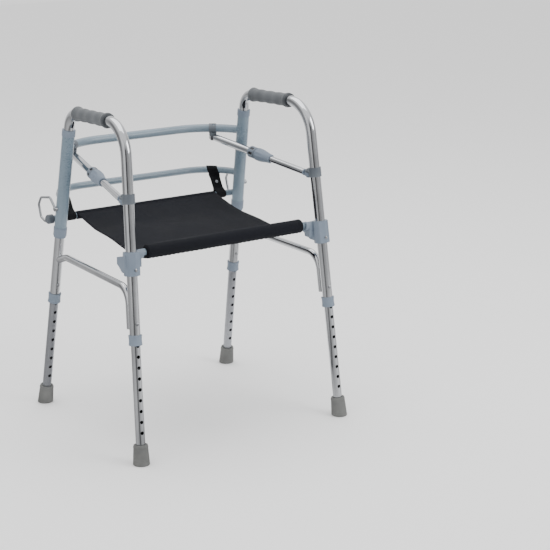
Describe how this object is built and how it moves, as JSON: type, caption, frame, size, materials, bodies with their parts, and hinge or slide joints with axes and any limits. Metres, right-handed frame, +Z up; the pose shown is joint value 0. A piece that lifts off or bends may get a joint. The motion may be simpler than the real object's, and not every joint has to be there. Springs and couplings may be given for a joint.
{
  "type": "walking frame",
  "caption": "Folding walking frame with a sling seat, telescoping side braces, a bowed double back bar and height-adjustable legs on rubber feet.",
  "frame": {"origin": "on the floor, at the middle of the four feet", "axes": "+X to the user's right, +Y to the back, +Z up"},
  "size_m": [0.609, 0.5461, 0.7897],
  "materials": {
    "chrome": "bright chromed steel tube",
    "satin_aluminium": "satin anodised",
    "grey_enamel": "pale blue-grey stoved enamel",
    "grey_plastic": "moulded blue-grey plastic",
    "dark_plastic": "dark moulded plastic",
    "steel": "zinc plated",
    "rubber": "matt grey rubber",
    "grip_foam": "soft grey vinyl grip",
    "black_fabric": "black woven nylon",
    "black_webbing": "black woven webbing"
  },
  "bodies": {
    "back_frame": {"upper_back_bar": "grey_enamel", "lower_back_bar": "grey_enamel", "hinge_sleeve_left": "grey_enamel", "hinge_sleeve_right": "grey_enamel", "hinge_bushes_left": "grey_plastic", "hinge_bushes_right": "grey_plastic", "brace_brackets": "grey_plastic", "brace_bolts": "steel", "rear_seat_rod": "grey_enamel", "rear_rod_knobs": "grey_plastic", "rod_hooks": "steel", "hook_rivets": "steel", "seat_sling": "black_fabric", "seat_straps": "black_webbing", "strap_rivets": "steel"},
    "front_rod": {"front_seat_rod": "grey_enamel", "front_rod_plugs": "grey_plastic"},
    "side_frame_right": {"side_tube_right": "chrome", "stop_ring_right": "grey_plastic", "leg_collars_right": "grey_plastic", "stretcher_right": "chrome", "grip_right": "grip_foam", "grip_ring_right": "dark_plastic", "seat_clamp_right": "grey_plastic", "clamp_screw_right": "steel", "brace_lug_right": "grey_plastic"},
    "brace_rear_right": {"brace_outer_right": "chrome", "brace_lock_right": "grey_plastic"},
    "brace_release_right": {"brace_release_ring_right": "dark_plastic"},
    "brace_front_right": {"brace_inner_right": "chrome", "brace_tip_right": "grey_plastic"},
    "leg_front_right": {"leg_front_right": "chrome", "foot_front_right": "rubber"},
    "snap_button_front_right": {"snap_button_front_right": "steel"},
    "leg_rear_right": {"leg_rear_right": "satin_aluminium", "foot_rear_right": "rubber"},
    "snap_button_rear_right": {"snap_button_rear_right": "steel"},
    "side_frame_left": {"side_tube_left": "chrome", "stop_ring_left": "grey_plastic", "leg_collars_left": "grey_plastic", "stretcher_left": "chrome", "grip_left": "grip_foam", "grip_ring_left": "dark_plastic", "seat_clamp_left": "grey_plastic", "clamp_screw_left": "steel", "brace_lug_left": "grey_plastic"},
    "brace_rear_left": {"brace_outer_left": "chrome", "brace_lock_left": "grey_plastic"},
    "brace_release_left": {"brace_release_ring_left": "dark_plastic"},
    "brace_front_left": {"brace_inner_left": "chrome", "brace_tip_left": "grey_plastic"},
    "leg_front_left": {"leg_front_left": "chrome", "foot_front_left": "rubber"},
    "snap_button_front_left": {"snap_button_front_left": "steel"},
    "leg_rear_left": {"leg_rear_left": "satin_aluminium", "foot_rear_left": "rubber"},
    "snap_button_rear_left": {"snap_button_rear_left": "steel"}
  },
  "joints": [
    {"name": "fold_right", "type": "hinge", "parent": "back_frame", "child": "side_frame_right", "pos_m": [0.25434, 0.14371, 0.59], "axis": [0.0351, 0.1817, -0.9827], "range_deg": [0, 91]},
    {"name": "brace_swing_right", "type": "hinge", "parent": "back_frame", "child": "brace_rear_right", "pos_m": [0.203, 0.19573, 0.6435], "axis": [0.0351, 0.1817, -0.9827], "range_deg": [0, 84.78]},
    {"name": "brace_slide_right", "type": "slide", "parent": "brace_rear_right", "child": "brace_front_right", "axis": [-0.1587, 0.9797, 0.1228], "range_m": [0, 0.1075]},
    {"name": "brace_release_right", "type": "slide", "parent": "brace_rear_right", "child": "brace_release_right", "axis": [-0.1587, 0.9797, 0.1228], "range_m": [0, 0.006], "stiffness_N_per_m": 400, "springref_m": -0.002},
    {"name": "leg_height_front_right", "type": "slide", "parent": "side_frame_right", "child": "leg_front_right", "axis": [-0.0411, 0.123, 0.9916], "range_m": [0, 0.2032]},
    {"name": "button_front_right", "type": "slide", "parent": "side_frame_right", "child": "snap_button_front_right", "axis": [0.0051, 0.9924, -0.1228], "range_m": [0, 0.0022], "stiffness_N_per_m": 500, "springref_m": -0.0015},
    {"name": "leg_height_rear_right", "type": "slide", "parent": "side_frame_right", "child": "leg_rear_right", "axis": [-0.0351, -0.1817, 0.9827], "range_m": [0, 0.2032]},
    {"name": "button_rear_right", "type": "slide", "parent": "side_frame_right", "child": "snap_button_rear_right", "axis": [-0.0065, 0.9834, 0.1816], "range_m": [0, 0.0022], "stiffness_N_per_m": 500, "springref_m": -0.0015},
    {"name": "fold_left", "type": "hinge", "parent": "back_frame", "child": "side_frame_left", "pos_m": [-0.25434, 0.14371, 0.59], "axis": [0.0351, -0.1817, 0.9827], "range_deg": [0, 79]},
    {"name": "brace_swing_left", "type": "hinge", "parent": "back_frame", "child": "brace_rear_left", "pos_m": [-0.203, 0.19573, 0.6435], "axis": [0.0351, -0.1817, 0.9827], "range_deg": [0, 71.64]},
    {"name": "brace_slide_left", "type": "slide", "parent": "brace_rear_left", "child": "brace_front_left", "axis": [0.1587, 0.9797, 0.1228], "range_m": [0, 0.0918]},
    {"name": "brace_release_left", "type": "slide", "parent": "brace_rear_left", "child": "brace_release_left", "axis": [0.1587, 0.9797, 0.1228], "range_m": [0, 0.006], "stiffness_N_per_m": 400, "springref_m": -0.002},
    {"name": "leg_height_front_left", "type": "slide", "parent": "side_frame_left", "child": "leg_front_left", "axis": [0.0411, 0.123, 0.9916], "range_m": [0, 0.2032]},
    {"name": "button_front_left", "type": "slide", "parent": "side_frame_left", "child": "snap_button_front_left", "axis": [-0.0051, 0.9924, -0.1228], "range_m": [0, 0.0022], "stiffness_N_per_m": 500, "springref_m": -0.0015},
    {"name": "leg_height_rear_left", "type": "slide", "parent": "side_frame_left", "child": "leg_rear_left", "axis": [0.0351, -0.1817, 0.9827], "range_m": [0, 0.2032]},
    {"name": "button_rear_left", "type": "slide", "parent": "side_frame_left", "child": "snap_button_rear_left", "axis": [0.0065, 0.9834, 0.1816], "range_m": [0, 0.0022], "stiffness_N_per_m": 500, "springref_m": -0.0015},
    {"name": "front_rod_carry", "type": "hinge", "parent": "back_frame", "child": "front_rod", "pos_m": [0, 0.03373, 0.19749], "axis": [-1, 0, 0], "range_deg": [0, 69.94], "deforming": ["seat_sling", "seat_straps"]}
  ],
  "couplings": [
    {"joint": "brace_swing_right", "follows": "fold_right", "ratio": 0.92831},
    {"joint": "brace_slide_right", "follows": "fold_right", "m_per_rad": 0.067481},
    {"joint": "fold_left", "follows": "fold_right", "ratio": 0.30769},
    {"joint": "brace_swing_left", "follows": "fold_right", "ratio": 0.2552},
    {"joint": "brace_slide_left", "follows": "fold_right", "m_per_rad": 0.015954},
    {"joint": "front_rod_carry", "follows": "fold_right", "ratio": 0.76638}
  ]
}
